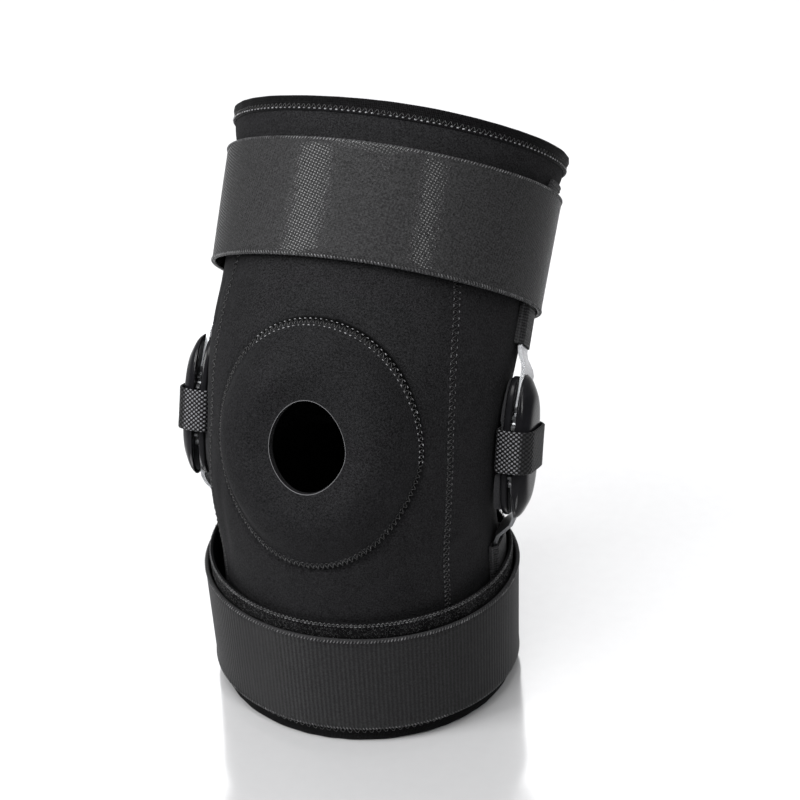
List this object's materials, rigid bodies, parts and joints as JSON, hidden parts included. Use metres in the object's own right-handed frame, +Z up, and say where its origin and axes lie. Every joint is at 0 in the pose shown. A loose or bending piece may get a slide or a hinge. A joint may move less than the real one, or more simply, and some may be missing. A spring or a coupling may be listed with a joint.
{
  "type": "knee brace",
  "caption": "Hinged open-patella knee brace: soft sleeve, ring pad round the kneecap, geared twin-pivot side hinges, wide upper and lower straps, bent at rest.",
  "frame": {"origin": "the centre of the brace's bounding box, on the surface that the bottom rim stands on", "axes": "+Z up along the calf, -Y towards the front of the knee, +X across the leg, to the right seen from the front"},
  "size_m": [0.1922, 0.2443, 0.316],
  "materials": {
    "neoprene": "matt jersey-faced neoprene foam, black, fine knit grain",
    "webbing": "dark grey herringbone elastic webbing with a soft sheen",
    "pile": "black brushed loop pile",
    "tape": "woven black binding and webbing tape",
    "foam": "brushed fabric over thin foam",
    "steel": "bright rolled steel",
    "black_plate": "gloss black lacquered plate",
    "gloss_cover": "polished black moulded plastic"
  },
  "bodies": {
    "shin": {"calf_sleeve": "neoprene", "bottom_binding": "tape", "calf_loop_band": "pile", "lower_strap": "webbing", "lower_knee_sleeve": "neoprene", "left_lower_bar": "steel", "right_lower_bar": "steel", "left_lower_pocket": "tape", "right_lower_pocket": "tape"},
    "left_hinge": {"left_condyle_pad": "foam", "left_inner_plate": "black_plate", "left_outer_plate": "steel", "left_hinge_cover": "gloss_cover", "left_lower_rivet": "steel", "left_upper_rivet": "steel", "left_keeper_loop": "tape", "patella_pad": "neoprene"},
    "right_hinge": {"right_condyle_pad": "foam", "right_inner_plate": "black_plate", "right_outer_plate": "steel", "right_hinge_cover": "gloss_cover", "right_lower_rivet": "steel", "right_upper_rivet": "steel", "right_keeper_loop": "tape"},
    "thigh": {"thigh_sleeve": "neoprene", "top_binding": "tape", "upper_strap": "webbing", "upper_knee_sleeve": "neoprene", "left_upper_bar": "steel", "right_upper_bar": "steel", "left_upper_pocket": "tape", "right_upper_pocket": "tape"},
    "upper_strap_end": {"upper_strap_end": "webbing"},
    "lower_strap_end": {"lower_strap_end": "webbing"}
  },
  "joints": [
    {"name": "left_lower_pivot", "type": "hinge", "parent": "shin", "child": "left_hinge", "pos_m": [-0.0852, -0.0342, 0.1305], "axis": [-1, 0, 0], "range_deg": [-20, 25], "deforming": ["lower_knee_sleeve", "patella_pad"]},
    {"name": "left_upper_pivot", "type": "hinge", "parent": "left_hinge", "child": "thigh", "pos_m": [-0.0852, -0.02633, 0.15211], "axis": [-1, 0, 0], "range_deg": [-20, 25], "deforming": ["upper_knee_sleeve"]},
    {"name": "right_lower_pivot", "type": "hinge", "parent": "shin", "child": "right_hinge", "pos_m": [0.0852, -0.0342, 0.1305], "axis": [-1, 0, 0], "range_deg": [-20, 25]},
    {"name": "upper_strap_end_peel", "type": "hinge", "parent": "thigh", "child": "upper_strap_end", "pos_m": [0.04385, 0.08247, 0.177], "axis": [0, -0.6428, -0.766], "range_deg": [0, 100]},
    {"name": "lower_strap_end_peel", "type": "hinge", "parent": "shin", "child": "lower_strap_end", "pos_m": [-0.04175, 0.0257, 0.0375], "axis": [0, 0, 1], "range_deg": [0, 100]}
  ],
  "couplings": [
    {"joint": "left_upper_pivot", "follows": "left_lower_pivot", "ratio": 1},
    {"joint": "right_lower_pivot", "follows": "left_lower_pivot", "ratio": 1}
  ]
}
